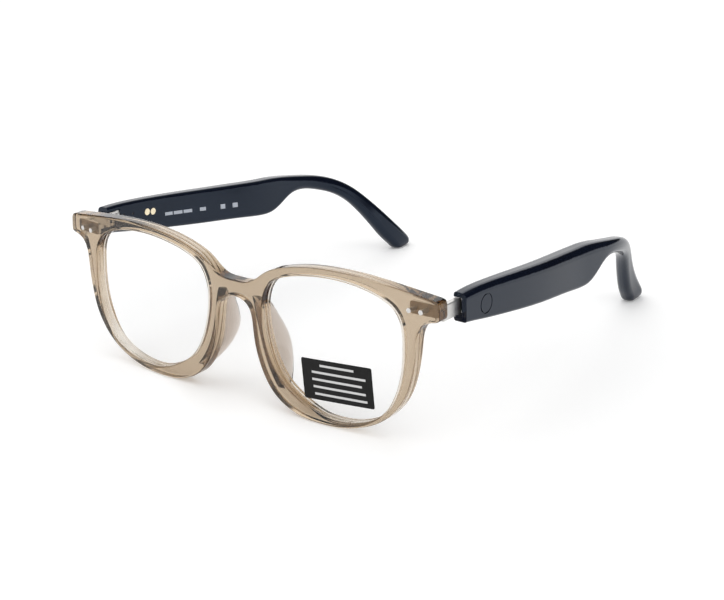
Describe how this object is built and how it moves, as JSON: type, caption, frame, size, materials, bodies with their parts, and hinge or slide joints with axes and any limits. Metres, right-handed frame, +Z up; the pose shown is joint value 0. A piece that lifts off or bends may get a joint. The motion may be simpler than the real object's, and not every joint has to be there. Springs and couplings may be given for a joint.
{
  "type": "smart glasses",
  "caption": "Round-rimmed smart glasses: translucent front, thick electronics temples on spring hinges, a press button and charging contacts on each temple.",
  "frame": {"origin": "middle of the footprint at table height: midway between the temples, midway along the overall length, on the plane both rims and both temple tips rest on", "axes": "+X to the wearer's left, +Y from the front towards the temple tips, +Z up"},
  "size_m": [0.1446, 0.1464, 0.0469],
  "materials": {
    "frame_plastic": "polished translucent smoke brown",
    "lens_plastic": "clear",
    "label_film": "printed film",
    "pad_plastic": "polished, nearly clear",
    "temple_plastic": "satin gloss, dark navy",
    "button_plastic": "satin gloss",
    "hinge_metal": "bright",
    "dark_metal": "black",
    "spring_wire": "drawn wire",
    "contact_gold": "plated",
    "board_laminate": "solder mask",
    "chip_resin": "matt",
    "battery_foil": "foil",
    "speaker_metal": "satin",
    "flex_film": "film"
  },
  "bodies": {
    "front": {"front_frame": "frame_plastic", "lens_left": "lens_plastic", "lens_right": "lens_plastic", "lens_label": "label_film", "nose_pad_left": "pad_plastic", "nose_pad_right": "pad_plastic", "hinge_link_left": "hinge_metal", "hinge_link_right": "hinge_metal", "hinge_rivets_left": "hinge_metal", "hinge_rivets_right": "hinge_metal"},
    "slider_left": {"hinge_slider_left": "hinge_metal", "hinge_pin_left": "hinge_metal"},
    "temple_left": {"temple_shell_left": "temple_plastic", "temple_cover_left": "temple_plastic", "hinge_housing_left": "hinge_metal", "hinge_spring_left": "spring_wire", "housing_pins_left": "dark_metal", "core_wire_left": "spring_wire", "main_board_left": "board_laminate", "board_chips_left": "chip_resin", "battery_left": "battery_foil", "speaker_left": "speaker_metal", "microphone_left": "speaker_metal", "button_switch_left": "chip_resin", "charge_contacts_left": "contact_gold", "flex_strip_left": "flex_film"},
    "button_left": {"button_cap_left": "button_plastic"},
    "slider_right": {"hinge_slider_right": "hinge_metal", "hinge_pin_right": "hinge_metal"},
    "temple_right": {"temple_shell_right": "temple_plastic", "temple_cover_right": "temple_plastic", "hinge_housing_right": "hinge_metal", "hinge_spring_right": "spring_wire", "housing_pins_right": "dark_metal", "core_wire_right": "spring_wire", "main_board_right": "board_laminate", "board_chips_right": "chip_resin", "battery_right": "battery_foil", "speaker_right": "speaker_metal", "microphone_right": "speaker_metal", "button_switch_right": "chip_resin", "charge_contacts_right": "contact_gold", "flex_strip_right": "flex_film"},
    "button_right": {"button_cap_right": "button_plastic"}
  },
  "joints": [
    {"name": "left_temple_fold", "type": "hinge", "parent": "front", "child": "slider_left", "pos_m": [0.069, -0.05468, 0.0392], "axis": [0, 0, 1], "range_deg": [0, 84]},
    {"name": "left_spring_draw", "type": "slide", "parent": "slider_left", "child": "temple_left", "axis": [0, 1, 0], "range_m": [0, 0.0006], "stiffness_N_per_m": 800, "springref_m": -0.003, "deforming": ["hinge_spring_left"]},
    {"name": "left_button_press", "type": "slide", "parent": "temple_left", "child": "button_left", "axis": [-1, 0, 0], "range_m": [0, 0.0003], "stiffness_N_per_m": 500, "springref_m": -0.0025},
    {"name": "right_temple_fold", "type": "hinge", "parent": "front", "child": "slider_right", "pos_m": [-0.069, -0.05468, 0.0392], "axis": [0, 0, -1], "range_deg": [0, 74]},
    {"name": "right_spring_draw", "type": "slide", "parent": "slider_right", "child": "temple_right", "axis": [0, 1, 0], "range_m": [0, 0.0006], "stiffness_N_per_m": 800, "springref_m": -0.003, "deforming": ["hinge_spring_right"]},
    {"name": "right_button_press", "type": "slide", "parent": "temple_right", "child": "button_right", "axis": [1, 0, 0], "range_m": [0, 0.0003], "stiffness_N_per_m": 500, "springref_m": -0.0025}
  ]
}
